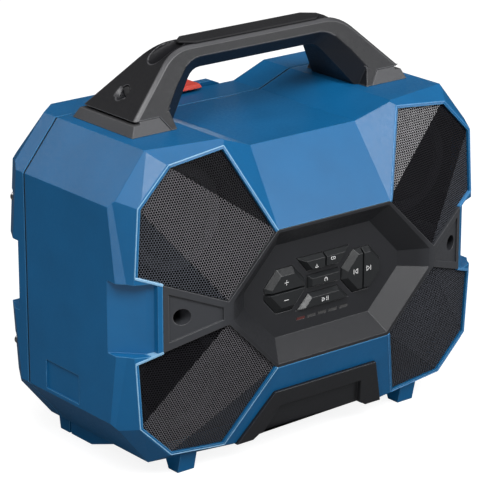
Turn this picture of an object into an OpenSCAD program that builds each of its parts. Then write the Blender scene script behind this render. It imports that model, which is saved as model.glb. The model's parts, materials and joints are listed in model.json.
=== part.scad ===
// Jobsite wireless speaker: faceted two-part case, folded grilles, dished control panel, carry handle.
// Sizes in millimetres; X to the right, Y to the rear, Z up; the feet stand on Z = 0.

/* [Body] */
// half width of the body at its sides
body_half_w = 181; // [170:1:195]
// half height of the body from its middle to the top pads
body_half_h = 126; // [120:1:136]
// half width of the flat top and bottom
pad_half_w = 149; // [143:1:154]
// height of the shoulder above the middle
shoulder_z = 87; // [82:1:92]
// grille rim plane in front of the centre
rim_y = 83; // [80:1:88]
// control panel plane in front of the centre
face_y = 112; // [108:1:118]
// rear face behind the centre
rear_y = 81; // [76:1:88]
// parting plane of the two shells behind the centre
part_y = 46; // [40:1:54]
// wall thickness of the moulded parts
wall = 3; // [2.6:0.1:3.4]
// height of the feet
foot_h = 15; // [10:1:22]

/* [Top valley] */
// drop of the valley floor under the top pads
valley_drop = 12.4; // [9:0.2:16]
// half width of the valley floor
valley_floor = 53; // [45:1:60]
// half width of the valley at the pads
valley_top = 85.5; // [80:0.5:90]
// half width of the shallow recess in the underside
under_half = 54; // [48:1:60]
// depth of the recess in the underside
under_drop = 5; // [3:0.5:7]

/* [Control panel] */
// half width of the panel at its top and bottom edges
panel_half_w = 57; // [54:1:60]
// half height of the panel
panel_half_h = 56; // [54:1:60]
// half width of the panel at its side tips
tip_half_w = 104.5; // [102:0.5:107]
// half height of the side tips
tip_half_h = 9; // [7:0.5:11]
// depth of the dish below the rim
dish_depth = 15; // [12:0.5:17]
// width of the flat rim round the dish
dish_lip = 2; // [1.5:0.1:3]
// half width where the side arms end
arm_half_w = 151.6; // [148:0.2:153]
// depth of the pockets in the side arms
pocket_depth = 1.5; // [1:0.1:2]
// radius of the screw wells in the side arms
well_r = 6.5; // [5:0.1:7]

/* [Keys] */
// height of the key tops above the dish floor
key_rise = 4.5; // [3:0.1:6]
// gap round each key
key_gap = 0.4; // [0.3:0.05:0.6]
// travel of each key
key_travel = 1; // [0.6:0.1:1.2]
// width of the bevels on the keys
key_bevel = 5; // [3:0.1:5.5]
// distance of the round key pairs from the middle
pair_x = 39; // [38:0.5:42]

/* [Grilles] */
// thickness of the grille sheet
grille_t = 1.2; // [1:0.1:1.6]
// width of the moulded lip round each grille
grille_lip = 2; // [1.5:0.1:3]
// width of the sheet tucked behind the lip
grille_tuck = 4; // [3:0.1:5]
// diameter of the grille holes
hole_d = 4.4; // [3.6:0.1:5]
// distance between the grille holes
hole_pitch = 7.5; // [7:0.1:10]

/* [Drivers] */
// outer radius of the driver frames
driver_r = 42; // [38:0.5:44]
// distance of the drivers to each side of the middle
driver_x = 117; // [113:0.5:119]
// distance of the drivers above and below the middle
driver_z = 65; // [63:0.5:68]
// front face of the baffle in front of the centre
baffle_y = 58; // [56:0.5:60]
// thickness of the baffle
baffle_t = 6; // [5:0.5:8]
// travel of the cones each way
cone_travel = 2; // [1:0.1:2.5]

/* [Handle] */
// height of the bar top above the top pads
handle_h = 59; // [56:0.5:64]
// half length of the bar between the corners of its top
bar_half_l = 84; // [80:0.5:88]
// height of the bar's front faces
bar_face = 9; // [7:0.5:11]
// height of the bar
bar_h = 20; // [18:0.5:24]
// outer radius of the bends
bend_r = 40; // [30:1:48]
// height of the foot caps
cap_h = 11; // [8:0.5:14]
// half depth of the legs at the caps
leg_half_d = 34; // [30:0.5:38]
// thickness of the rubber grip
grip_t = 2; // [1.5:0.1:3]
// shift of the bar behind the middle of the legs
bar_y = -5; // [-7:0.5:0]

/* [Battery door] */
// half width of the door
door_half_w = 88; // [84:1:94]
// thickness of the door
door_t = 6; // [5:0.5:7]
// half width of the battery bay
bay_half_w = 70; // [62:1:74]
// front end of the battery bay behind the centre
bay_y = 14; // [12:1:20]
// half width of the red latch
latch_half_w = 13; // [9:0.5:16]

/* [Hidden] */
$fn = 48;

// reach of the half spaces
reach = 460;
// small step that keeps more than three faces from meeting in one point
ease = 0.4;
// running clearance between pieces that turn or slide
clear = 0.3;
// clearance between pieces that only stand close
slack = 0.15;
mid_z = foot_h + body_half_h;
core = [0, 0, 0];
valley_z = body_half_h - valley_drop;
panel_floor = face_y - dish_depth;

// corner points of the right upper quarter of the front, seen from the middle of the body
pt_a = [panel_half_w, -face_y, panel_half_h];
pt_t = [tip_half_w, -face_y, tip_half_h];
pt_b = [valley_top + 1.5, -rim_y, body_half_h - 4];
pt_c = [pad_half_w - 10, -rim_y, body_half_h - 9.5];
pt_d = [body_half_w - 13, -rim_y, shoulder_z + 1];
pt_e = [body_half_w - 9.5, -rim_y, 34.5];
pt_pad = [pad_half_w, 17.5 - rim_y, body_half_h];
pt_sh = [body_half_w - 4, 17 - rim_y, shoulder_z + 5];
pt_s1 = [body_half_w, 21 - rim_y, shoulder_z];
pt_f3 = [body_half_w - 7, 4.3 - rim_y, 31];
pt_logo = [valley_floor, 10.5 - rim_y, valley_z];
quarter = [[pt_a.x, pt_a.z], [pt_t.x, pt_t.z], [pt_e.x, pt_e.z], [pt_d.x, pt_d.z], [pt_c.x, pt_c.z],
    [pt_b.x, pt_b.z]];
// outline of the arms where they run along the grilles
arm_end_h = tip_half_h + (arm_half_w - tip_half_w) * (pt_e.z - tip_half_h) / (pt_e.x - tip_half_w);
panel_outline = [[-panel_half_w, -panel_half_h], [panel_half_w, -panel_half_h],
    [tip_half_w, -tip_half_h], [arm_half_w, -arm_end_h], [arm_half_w, arm_end_h],
    [tip_half_w, tip_half_h], [panel_half_w, panel_half_h], [-panel_half_w, panel_half_h],
    [-tip_half_w, tip_half_h], [-arm_half_w, arm_end_h], [-arm_half_w, -arm_end_h],
    [-tip_half_w, -tip_half_h]];
dish_run = dish_depth * 1.07;
// side notches in the corners at mid height
notch_y = 60;
notch_run = 21;
notch_half_h = 29;
notch_x = arm_half_w + 3.9;
// places of the screws and posts
well_x = tip_half_w + 33;
post_r = 7;
post_x = body_half_w - wall - post_r + 1;
post_z = 60;
bolt_x = 118;
bolt_y = 18;
bolt_r = 2.1;
// depth of the bolts in the handle
bolt_in = 8;
screw_r = 1.8;
baffle_back = baffle_t - baffle_y;
// bay and door heights
bay_low = -82;
bay_high = 78;
door_low = -90;
door_high = valley_z - 10;
hinge_y = rear_y + 8.5;
hinge_z = -99;
hinge_r = 5;
pin_r = 2;
door_gap = 1.2;
latch_y = rear_y + door_gap + door_t + 4;
latch_z = door_high - 6;
latch_knob = 5;
latch_lift = 2.4;
latch_t = 3.2;
seal_t = 2.4;

// shift that puts the middle of the depth over the origin
front_end = face_y - ease;
rear_end = latch_y + latch_knob;
mid_y = (front_end - rear_end) / 2;

// everything is drawn round the middle of the body and placed on its feet
module at_middle() {
    translate([0, mid_y, mid_z])
        children();
}

function turn(p, s) = [p.x * s.x, p.y, p.z * s.y];
function back(p) = [p.x, rear_y - rim_y - p.y, p.z];
function side_n(a, b) = [a.y - b.y, b.x - a.x] / norm(b - a);
function cut2(u, v) = u.x * v.y - u.y * v.x;
function meet(a, b, c, d) = a + (b - a) * cut2(c - a, d - c) / cut2(b - a, d - c);
function pick(d, i) = is_list(d) ? d[i] : d;
// moves the edges of a counter-clockwise outline out by d, a number or one number per edge
function grown(p, d) = let (n = len(p)) [for (i = [0:n - 1])
    let (h = (i + n - 1) % n, j = (i + 1) % n, u = side_n(p[h], p[i]) * -pick(d, h),
        v = side_n(p[i], p[j]) * -pick(d, i)) meet(p[h] + u, p[i] + u, p[i] + v, p[j] + v)];
function centre(p) = [for (i = [0:1]) let (v = [for (q = p) q[i]]) (min(v) + max(v)) / 2];

// solid on the inner side of the plane through three points, moved in by off
module half(p, q, r, off = 0, inside = core) {
    n0 = cross(q - p, r - p);
    n1 = n0 / norm(n0);
    n = n1 * (inside - p) > 0 ? -n1 : n1;
    rotate([0, acos(n.z), atan2(n.y, n.x)])
        translate([-reach, -reach, n * p - off - 2 * reach])
            cube(2 * reach);
}

// outline in X and Z, drawn out along Y
module prism(pts, y0, y1) {
    translate([0, y1, 0])
        rotate([90, 0, 0])
            linear_extrude(y1 - y0)
                polygon(pts);
}

// outline in Y and Z, drawn out along X
module beam(pts, x0, x1) {
    translate([x0, 0, 0])
        rotate([90, 0, 90])
            linear_extrude(x1 - x0)
                polygon(pts);
}

module slab(y0, y1) {
    translate([-reach, y0, -reach])
        cube([2 * reach, y1 - y0, 2 * reach]);
}

// round bar along Y
module rod(x, z, r, y0, y1) {
    translate([x, y1, z])
        rotate([90, 0, 0])
            cylinder(r = r, h = y1 - y0);
}

// round bar along X
module bar(y, z, r, x0, x1) {
    translate([x0, y, z])
        rotate([0, 90, 0])
            cylinder(r = r, h = x1 - x0);
}

module both_sides() {
    children();
    mirror([1, 0, 0])
        children();
}

module four_ways() {
    both_sides() {
        children();
        mirror([0, 0, 1])
            children();
    }
}

module corner_way(sx, sz) {
    mirror([sx < 0 ? 1 : 0, 0, 0])
        mirror([0, 0, sz < 0 ? 1 : 0])
            children();
}

// the folded front: middle band and two triangles in each quarter, arms, upper and lower slopes
front_planes = concat(
    [for (sx = [-1, 1], sz = [-1, 1]) let (s = [sx, sz]) each [
        [turn(pt_c, s), turn(pt_d, s), turn((pt_a + pt_t) / 2, s), 0],
        [turn(pt_a, s), turn(pt_b, s), turn(pt_c, s), 0],
        [turn(pt_t, s), turn(pt_d, s), turn(pt_e, s), 0]]],
    [for (sx = [-1, 1]) [turn(pt_t, [sx, 1]), turn(pt_t, [sx, -1]), turn(pt_e, [sx, 1]), 0]],
    [for (sz = [-1, 1]) [turn(pt_a, [1, sz]), turn(pt_a, [-1, sz]), turn(pt_b, [1, sz]), 0]]);

// bevels round the rim of one quarter; the last number of each plane moves it out a little
function rim_planes(b, c, d, e, pad, sh) = [
    [b, c, pad, ease], [c, d, pad, 2 * ease], [d, sh, pad, ease], [d, e, sh, ease]];
rim_count = 4;
rim_front = [for (sx = [-1, 1], sz = [-1, 1]) let (s = [sx, sz])
    each rim_planes(turn(pt_b, s), turn(pt_c, s), turn(pt_d, s), turn(pt_e, s), turn(pt_pad, s),
        turn(pt_sh, s))];
// the rear has the same bevels but for those along the top and bottom edges
rim_rear = [for (i = [0:len(rim_front) - 1]) let (q = rim_front[i]) if (i % rim_count > 0)
    [back(q[0]), back(q[1]), back(q[2]), q[3]]];
corner_planes = [for (sx = [-1, 1], sz = [-1, 1]) [[sx * pad_half_w, 0, sz * body_half_h],
    [sx * pad_half_w, 10, sz * body_half_h], [sx * body_half_w, 0, sz * shoulder_z], 0]];

// box cut down by planes
module carved(lo, hi, planes, off = 0, inside = core) {
    intersection_for(i = [0:len(planes)])
        if (i == 0)
            translate(lo)
                cube(hi - lo);
        else
            half(planes[i - 1][0], planes[i - 1][1], planes[i - 1][2], off - planes[i - 1][3], inside);
}

// the front planes with the rim planes moved out, for the seats of the grilles
seat_wall = 1.5;
seat_planes = concat(front_planes, [for (q = rim_front) [q[0], q[1], q[2], q[3] + wall - seat_wall]]);

module front_faces(off) {
    span = [body_half_w + 40, 0, body_half_h + 40];
    carved([-span.x, off - face_y + ease, -span.z], [span.x, 0, span.z], front_planes, off);
}

// space behind the front that takes the edges of the grille sheets
module grille_space(off) {
    span = [body_half_w + 40, 0, body_half_h + 40];
    carved([-span.x, off - face_y + ease, -span.z], [span.x, 0, span.z], seat_planes, off);
}

// valley across the top and the plain sloping panel at its front
module valley(grow) {
    above = [0, 0, 2 * body_half_h];
    ahead = [0, -face_y - 40, body_half_h + 14];
    carved([-valley_top - 60, -face_y - 30, valley_z - grow],
        [valley_top + 60, rear_y + 30, body_half_h + 50],
        [for (sx = [-1, 1]) [[sx * valley_floor, 0, valley_z], [sx * valley_floor, 1, valley_z],
            [sx * valley_top, 0, body_half_h], 0]], -grow, above);
    carved([-valley_top - 60, -face_y - 20, panel_half_h - 20], [valley_top + 60, 0, body_half_h + 40],
        concat([[pt_a, turn(pt_a, [-1, 1]), pt_logo, 0]],
            [for (sx = [-1, 1]) [turn(pt_a, [sx, 1]), turn(pt_b, [sx, 1]), turn(pt_logo, [sx, 1]), 0]]),
        -grow, ahead);
}

// shallow recess along the underside
module underside(grow) {
    below = [0, 0, -2 * body_half_h];
    top = under_drop - body_half_h;
    carved([-under_half - 60, -face_y - 30, -body_half_h - 50], [under_half + 60, rear_y + 30, top + grow],
        [for (sx = [-1, 1]) [[sx * under_half, 0, top], [sx * under_half, 1, top],
            [sx * (under_half + under_drop), 0, -body_half_h], 0]], -grow, below);
}

// corner notches at mid height, front and rear
module notches(grow) {
    lean = grow * sqrt(2);
    reach_x = body_half_w + 40;
    pts = [[reach_x, 40 - notch_y + lean], [body_half_w - notch_run - lean * 0.5,
        lean * 0.5 - notch_y - notch_run], [notch_x - grow, -notch_y - notch_run - 4],
        [notch_x - grow, -face_y - 30], [reach_x, -face_y - 30]];
    both_sides() {
        translate([0, 0, -notch_half_h - grow])
            linear_extrude(2 * (notch_half_h + grow))
                polygon(pts);
        translate([0, rear_y - rim_y, -notch_half_h - grow])
            mirror([0, 1, 0])
                linear_extrude(2 * (notch_half_h + grow))
                    polygon(pts);
    }
}

// narrow ledge beside each grille, between its rim and the side
ledge_w = 16;
ledge_l = 34;
module ledges() {
    for (sx = [-1, 1], sz = [-1, 1]) let (s = [sx, sz], top = shoulder_z + 10, low = notch_half_h - 8)
        carved([sx > 0 ? body_half_w - ledge_w : -body_half_w, -rim_y, sz > 0 ? low : -top],
            [sx > 0 ? body_half_w : ledge_w - body_half_w, ledge_l - rim_y, sz > 0 ? top : -low],
            concat(corner_planes, [[turn(pt_s1, s), turn(pt_sh, s), turn(pt_f3, s), 0],
                [turn(pt_d, s), turn(pt_sh, s), turn(pt_pad, s), ease]]));
}

module case_outside(off) {
    difference() {
        union() {
            carved([off - body_half_w, off - face_y + ease, off - body_half_h],
                [body_half_w - off, rear_y - off, body_half_h - off],
                concat(corner_planes, front_planes, rim_front, rim_rear), off);
            if (off == 0)
                ledges();
        }
        valley(off);
        underside(off);
        notches(off);
    }
}

baffle_outline = let (w = body_half_w - wall - 6, h = body_half_h - wall - 4, p = pad_half_w - 8,
    s = shoulder_z - 4) [[-p, -h], [p, -h], [w, -s], [w, s], [p, h], [-p, h], [-w, s], [-w, -s]];

// blocks under the case; they run into the bottom wall
module feet() {
    both_sides() {
        beam([[-74, -body_half_h + 2], [-70, -mid_z], [-58, -mid_z], [-50, -body_half_h + 2]], 107, 123);
        beam([[-32, -body_half_h + 2], [18, -mid_z], [rear_y - 20, -mid_z], [rear_y - 17, -body_half_h + 2]],
            116, 142.5);
    }
}

module bolt_holes(r, z0, z1) {
    for (sx = [-1, 1], sy = [-1, 1])
        translate([sx * bolt_x, sy * bolt_y, z0])
            cylinder(r = r, h = z1 - z0);
}

module posts(r, y0, y1) {
    four_ways()
        rod(post_x, post_z, r, y0, y1);
}

// places of the screws that hold the baffle on its ledge
module baffle_spots(r, y0, y1) {
    four_ways() {
        rod(26, baffle_outline[4].y - 15, r, y0, y1);
        rod(baffle_outline[3].x - 4.5, 30, r, y0, y1);
    }
}

module shell_skin() {
    difference() {
        case_outside(0);
        case_outside(wall);
    }
}

module side_recess(sx) {
    translate([sx * body_half_w - 1.5, -21, -84])
        cube([3, 44, 24]);
}

module front_shell() {
    color([0.02, 0.22, 0.42])
        at_middle()
            difference() {
                union() {
                    intersection() {
                        shell_skin();
                        slab(-reach, part_y);
                    }
                    intersection() {
                        feet();
                        slab(-reach, part_y);
                    }
                    // ledge that carries the baffle
                    difference() {
                        intersection() {
                            case_outside(wall / 2);
                            slab(baffle_back, baffle_back + 4);
                        }
                        prism(grown(baffle_outline, -9), baffle_back - 1, baffle_back + 5);
                    }
                    intersection() {
                        case_outside(wall / 2);
                        posts(post_r, baffle_back + 2, part_y);
                    }
                    // strips behind the valley floor for the upper and lower baffle screws
                    for (sz = [-1, 1])
                        intersection() {
                            case_outside(wall / 2);
                            translate([-40, baffle_back, sz > 0 ? baffle_outline[4].y - 22 : -body_half_h])
                                cube([80, 4, 34]);
                        }
                }
                prism(grown(panel_outline, 0.3), -reach / 2, baffle_y * -1);
                four_ways()
                    prism(grown(quarter, [1, 1, -grille_lip, -grille_lip, -grille_lip, -grille_lip]),
                        -reach / 2, -rim_y + 14);
                // grooves for the edges of the grille sheets
                difference() {
                    intersection() {
                        four_ways()
                            prism(grown(quarter, grille_tuck + clear), -face_y, -40);
                        grille_space(wall - 0.1);
                    }
                    front_faces(wall + grille_t + 0.15);
                    valley(wall - 0.5);
                    notches(wall - 0.5);
                }
                bumper_hole();
                side_recess(-1);
                side_recess(1);
                bolt_holes(2.4, valley_z, body_half_h + 1);
                posts(screw_r + slack, part_y - 22, part_y + 1);
                baffle_spots(screw_r + slack, baffle_back - 1, baffle_back + 5);
            }
}

// opening for the lower front insert
bumper_top = 80.4;
bumper_low = body_half_h - ease;
bumper_t = 2.15;
// how far the insert stands out of the slope
bumper_proud = 2.6;
bumper_out = [[-75, -bumper_low], [75, -bumper_low], [52, -bumper_top], [-52, -bumper_top]];

module bumper_hole() {
    difference() {
        prism(grown(bumper_out, [wall, clear, clear, clear]), -face_y - 10, -60);
        front_faces(bumper_t + 0.05);
    }
}

module rear_shell() {
    color([0.02, 0.20, 0.40])
        at_middle()
            difference() {
                union() {
                    intersection() {
                        shell_skin();
                        slab(part_y + seal_t, reach / 2);
                    }
                    intersection() {
                        feet();
                        slab(part_y + seal_t, reach / 2);
                    }
                    intersection() {
                        case_outside(wall / 2);
                        posts(post_r, part_y + seal_t, rear_y);
                    }
                    // hinge lugs
                    both_sides()
                        difference() {
                            union() {
                                bar(hinge_y, hinge_z, hinge_r, 42, 54);
                                beam([[rear_y - 1, hinge_z - 8], [hinge_y, hinge_z - hinge_r],
                                    [hinge_y, hinge_z + 2], [rear_y - 1, hinge_z + 2]], 42, 54);
                            }
                            bar(hinge_y, hinge_z, pin_r + slack, 30, 60);
                        }
                }
                prism(bay_outline, rear_y - wall - 1, rear_y + 1);
                posts(screw_r + 0.4, part_y, rear_y + 1);
                posts(4.4, rear_y - 10, rear_y + 1);
            }
}

module case_seal() {
    color([0.03, 0.03, 0.03])
        at_middle()
            difference() {
                intersection() {
                    difference() {
                        case_outside(0.8);
                        case_outside(wall);
                    }
                    slab(part_y + 0.05, part_y + seal_t - 0.05);
                }
                posts(post_r + clear, part_y - 1, part_y + seal_t + 1);
            }
}

// folded sheet of one quarter with its staggered holes
module grille() {
    sheet = grown(quarter, [0.4, grille_tuck, grille_tuck, grille_tuck, grille_tuck, grille_tuck]);
    inner = grown(quarter, -5.5);
    row = hole_pitch * 0.866;
    color([0.16, 0.16, 0.17])
        difference() {
            intersection() {
                prism(sheet, -face_y, -40);
                grille_space(wall + 0.05);
            }
            front_faces(wall + 0.05 + grille_t);
            valley(wall + 0.05);
            notches(wall + 0.05);
            translate([0, -40, 0])
                rotate([90, 0, 0])
                    linear_extrude(face_y)
                        for (j = [0:17], i = [0:17]) {
                            p = [panel_half_w + (i + (j % 2) / 2) * hole_pitch, tip_half_h + j * row];
                            if (within(p, inner))
                                translate(p)
                                    circle(d = hole_d, $fn = 16);
                        }
        }
}

function within(p, poly) = min([for (i = [0:len(poly) - 1])
    side_n(poly[i], poly[(i + 1) % len(poly)]) * (p - poly[i])]) > 0;

module grille_upper_left() {
    at_middle()
        corner_way(-1, 1)
            grille();
}

module grille_upper_right() {
    at_middle()
        corner_way(1, 1)
            grille();
}

module grille_lower_left() {
    at_middle()
        corner_way(-1, -1)
            grille();
}

module grille_lower_right() {
    at_middle()
        corner_way(1, -1)
            grille();
}

// dished hollow of the control panel; grown it gives the back of the dish
module dish(grow) {
    ahead = [0, -face_y - 30, 0];
    a = [panel_half_w - dish_lip * 0.4, -face_y, panel_half_h - dish_lip];
    t = [tip_half_w - dish_lip * 1.8, -face_y, tip_half_h - dish_lip * 0.6];
    a1 = [a.x - dish_run * 0.6, -panel_floor, a.z - dish_run];
    t1 = [t.x - dish_run * 1.4, -panel_floor, t.z];
    carved([-tip_half_w - 20, -face_y - 20, -panel_half_h - 20],
        [tip_half_w + 20, grow - panel_floor, panel_half_h + 20],
        concat([for (sz = [-1, 1]) [turn(a, [1, sz]), turn(a, [-1, sz]), turn(a1, [1, sz]), 0]],
            [for (sx = [-1, 1]) [turn(t, [sx, 1]), turn(t, [sx, -1]), turn(t1, [sx, 1]), 0]],
            [for (sx = [-1, 1], sz = [-1, 1]) [turn(a, [sx, sz]), turn(t, [sx, sz]),
                turn((a1 + t1) / 2, [sx, sz]), 0]]),
        -grow, ahead);
}

arm_pocket = [[tip_half_w + 4, -5], [arm_half_w - 4, -arm_end_h + 7.5], [arm_half_w - 4, arm_end_h - 7.5],
    [tip_half_w + 4, 5]];

// outlines of the keys
split = 0.7;
pair_w = 20;
pair_h = 18;
pair_cx = 8;
pair_cz = 5;
key_poly = [
    shifted([[-pair_w, split], [pair_w, split], [pair_w, pair_cz], [pair_cx, pair_h], [-pair_cx, pair_h],
        [-pair_w, pair_cz]], [-pair_x, 0]),
    shifted([[-pair_w, -pair_cz], [-pair_cx, -pair_h], [pair_cx, -pair_h], [pair_w, -pair_cz],
        [pair_w, -split], [-pair_w, -split]], [-pair_x, 0]),
    [[-16, 10.5], [-split, 10.5], [-split, 22.5], [-26.5, 22.5]],
    [[split, 10.5], [16, 10.5], [26.5, 22.5], [split, 22.5]],
    [[-15.7, -4], [15.7, -4], [15.7, 6.4], [-15.7, 6.4]],
    [[-26.4, -20.2], [26.4, -20.2], [15, -8.4], [-15, -8.4]],
    shifted([[-pair_w, -pair_cz], [-pair_cx, -pair_h], [-split, -pair_h], [-split, pair_h],
        [-pair_cx, pair_h], [-pair_w, pair_cz]], [pair_x, 0]),
    shifted([[split, -pair_h], [pair_cx, -pair_h], [pair_w, -pair_cz], [pair_w, pair_cz],
        [pair_cx, pair_h], [split, pair_h]], [pair_x, 0])];
// share of the bevel on each edge of each key
key_edge = [[0, 0.4, 0.8, 1, 1, 1], [1, 1, 0.8, 0.4, 0, 0.4], [0.3, 0, 0.6, 0.6], [0.3, 0.6, 0.6, 0],
    [0.4, 0.4, 0.4, 0.4], [0.3, 0.6, 0.6, 0.6], [0.8, 0.6, 0, 0.8, 1, 0.8], [0.6, 0.6, 0.6, 0.6, 0.8, 0]];
function shifted(p, d) = [for (q = p) q + d];

key_lip = 1;
key_back = panel_floor - wall - 1;
board_y = key_back - key_travel - 1.6;

// one key: outline through the panel, bevelled top, a lip behind the panel and a plunger over its switch
module key(i) {
    p = key_poly[i];
    n = len(p);
    c = centre(p);
    top = panel_floor + key_rise;
    color([0.05, 0.05, 0.055])
        at_middle() {
            intersection() {
                prism(p, -top, -key_back);
                intersection_for(j = [0:n - 1])
                    bevel_half(p[j], p[(j + 1) % n], max(key_edge[i][j], 0.02) * key_bevel, top, c);
            }
            prism(grown(p, [for (e = key_edge[i]) e == 0 ? 0 : key_gap + key_lip]),
                wall + slack - panel_floor, -key_back);
            translate([c.x - 3, -key_back - 0.01, c.y - 2])
                cube([6, 0.61, 4]);
        }
}

module bevel_half(a, b, w, top, c) {
    n = side_n(a, b) * w;
    low = panel_floor + 0.4;
    half([a.x, -low, a.y], [b.x, -low, b.y], [a.x + n.x, -top, a.y + n.y], 0, [c.x, 0, c.y]);
}

lights_z = -27.6;
light_l = 8.2;
light_pitch = 11;

module light_bars(grow, y0, y1) {
    for (i = [-2:2])
        translate([i * light_pitch - light_l / 2 - grow, y0, lights_z - 0.9 - grow])
            cube([light_l + 2 * grow, y1 - y0, 1.8 + 2 * grow]);
}

board_half = [58, 34];

module board_posts(r, y0, y1) {
    four_ways()
        rod(48, 31, r, y0, y1);
}

module control_panel() {
    color([0.045, 0.045, 0.05])
        at_middle()
            difference() {
                union() {
                    difference() {
                        intersection() {
                            prism(panel_outline, -face_y - 5, -rim_y);
                            front_faces(0);
                        }
                        front_faces(wall);
                    }
                    intersection() {
                        prism(panel_outline, -face_y - 5, wall + 5 - panel_floor);
                        front_faces(0);
                        dish(wall);
                    }
                    // screw towers of the arms stand on the baffle
                    both_sides()
                        intersection() {
                            rod(well_x, 0, well_r + 3, -face_y, -baffle_y);
                            front_faces(wall / 2);
                        }
                    board_posts(2.6, -panel_floor, -board_y);
                }
                dish(0);
                both_sides() {
                    difference() {
                        prism(arm_pocket, -face_y - 5, -rim_y + 5);
                        front_faces(pocket_depth);
                    }
                    rod(well_x, 0, well_r, -face_y - 1, -baffle_y - 6);
                    rod(well_x, 0, screw_r + slack, -face_y, -baffle_y + 1);
                }
                for (p = key_poly)
                    prism(grown(p, key_gap), -face_y, -panel_floor + wall + 1);
                light_bars(slack, -face_y, -panel_floor + wall + 1);
                board_posts(0.9, -panel_floor + 1, -board_y + 1);
            }
}

module key_volume_up() {
    key(0);
}

module key_volume_down() {
    key(1);
}

module key_wireless() {
    key(2);
}

module key_link() {
    key(3);
}

module key_power() {
    key(4);
}

module key_play() {
    key(5);
}

module key_previous() {
    key(6);
}

module key_next() {
    key(7);
}

module charge_lights() {
    color([0.6, 0.6, 0.62])
        at_middle() {
            light_bars(0, -panel_floor - 0.3, -panel_floor + wall + 0.2);
            translate([-2.5 * light_pitch, -panel_floor + wall + 0.1, lights_z - 1.6])
                cube([5 * light_pitch, 1, 3.2]);
        }
}

// circuit board with one switch under each key
module control_board() {
    color([0.05, 0.25, 0.12])
        at_middle() {
            difference() {
                translate([-board_half.x, -board_y + 0.05, -board_half.y])
                    cube([2 * board_half.x, 1.6, 2 * board_half.y]);
                board_posts(1, -board_y - 1, -board_y + 3);
            }
            for (p = key_poly)
                translate([centre(p).x - 2.4, -board_y - 0.9, centre(p).y - 1.8])
                    cube([4.8, 1.2, 3.6]);
        }
}

// lower front insert: upside-down U with a set-back panel
module front_bumper() {
    inner = [[-54, -body_half_h - 5], [54, -body_half_h - 5], [42, -bumper_top - 16],
        [-42, -bumper_top - 16]];
    color([0.05, 0.05, 0.055])
        at_middle()
            difference() {
                intersection() {
                    prism(bumper_out, -face_y - 5, -60);
                    front_faces(-bumper_proud);
                }
                front_faces(bumper_t);
                underside(0);
                difference() {
                    prism(inner, -face_y - 8, -50);
                    front_faces(0.9);
                }
            }
}

module speaker_baffle() {
    color([0.07, 0.07, 0.07])
        at_middle()
            difference() {
                prism(baffle_outline, -baffle_y, baffle_back - 0.05);
                valley(wall + 1);
                underside(wall + 1);
                four_ways()
                    rod(driver_x, driver_z, driver_r - 5, -baffle_y - 1, baffle_back + 1);
                both_sides()
                    rod(well_x, 0, screw_r + slack, -baffle_y - 1, baffle_back + 1);
                baffle_spots(screw_r + slack, -baffle_y - 1, baffle_back + 1);
            }
}

frame_t = 4;
cone_r = driver_r - 8;
basket_y = -baffle_y + 26;
magnet_y = basket_y + 14;

module driver_place(sx, sz) {
    at_middle()
        corner_way(sx, sz)
            translate([driver_x, 0, driver_z])
                rotate([-90, 0, 0])
                    children();
}

// turned frame: flange on the baffle, open basket behind it
module driver_frame(sx, sz) {
    front = -baffle_y - frame_t;
    color([0.12, 0.12, 0.13])
        driver_place(sx, sz)
            difference() {
                rotate_extrude()
                    polygon([[cone_r + 0.5, front], [driver_r, front], [driver_r, -baffle_y - 0.05],
                        [driver_r - 6, -baffle_y - 0.05], [driver_r - 6, -baffle_y + 7],
                        [24, basket_y], [11, basket_y], [11, basket_y - 2], [22, basket_y - 2],
                        [cone_r + 0.5, -baffle_y + 6]]);
                for (a = [0:60:300])
                    rotate([0, 0, a + 30])
                        translate([20, -4.5, -baffle_y + 9])
                            cube([22, 9, 13]);
            }
}

// turned cone with its dust cap and voice coil
module driver_cone(sx, sz) {
    rim = -baffle_y - frame_t + 1;
    neck = -baffle_y + 14;
    color([0.04, 0.04, 0.04])
        driver_place(sx, sz)
            rotate_extrude()
                polygon([[0, neck - 9], [9, neck - 6], [13, neck - 4], [cone_r - 4, rim + 1.5],
                    [cone_r - 2, rim], [cone_r, rim + 1.5],
                    [cone_r, rim + 2.5], [cone_r - 4, rim + 3.5], [13, neck],
                    [9, neck + 2], [9, basket_y + 4], [8, basket_y + 4], [8, neck - 3], [0, neck - 6]]);
}

// pole, slot for the coil and outside of the magnet
pole_r = 7.4;
slot_r = 10.6;
magnet_r = 24;
plate_t = 4;
module driver_magnet(sx, sz) {
    color([0.3, 0.3, 0.32])
        driver_place(sx, sz)
            rotate_extrude()
                polygon([[0, basket_y + 1], [pole_r, basket_y + 1], [pole_r, magnet_y - plate_t],
                    [slot_r, magnet_y - plate_t], [slot_r, basket_y + 0.05], [magnet_r, basket_y + 0.05],
                    [magnet_r, magnet_y], [0, magnet_y]]);
}

module driver_frame_upper_left() {
    driver_frame(-1, 1);
}

module driver_frame_upper_right() {
    driver_frame(1, 1);
}

module driver_frame_lower_left() {
    driver_frame(-1, -1);
}

module driver_frame_lower_right() {
    driver_frame(1, -1);
}

module driver_cone_upper_left() {
    driver_cone(-1, 1);
}

module driver_cone_upper_right() {
    driver_cone(1, 1);
}

module driver_cone_lower_left() {
    driver_cone(-1, -1);
}

module driver_cone_lower_right() {
    driver_cone(1, -1);
}

module driver_magnet_upper_left() {
    driver_magnet(-1, 1);
}

module driver_magnet_upper_right() {
    driver_magnet(1, 1);
}

module driver_magnet_lower_left() {
    driver_magnet(-1, -1);
}

module driver_magnet_lower_right() {
    driver_magnet(1, -1);
}

// handle heights above the middle of the body
cap_top = body_half_h + cap_h;
bar_top = body_half_h + handle_h - grip_t;
bar_low = bar_top - bar_h;
top_half_d = 12.3;
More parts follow.
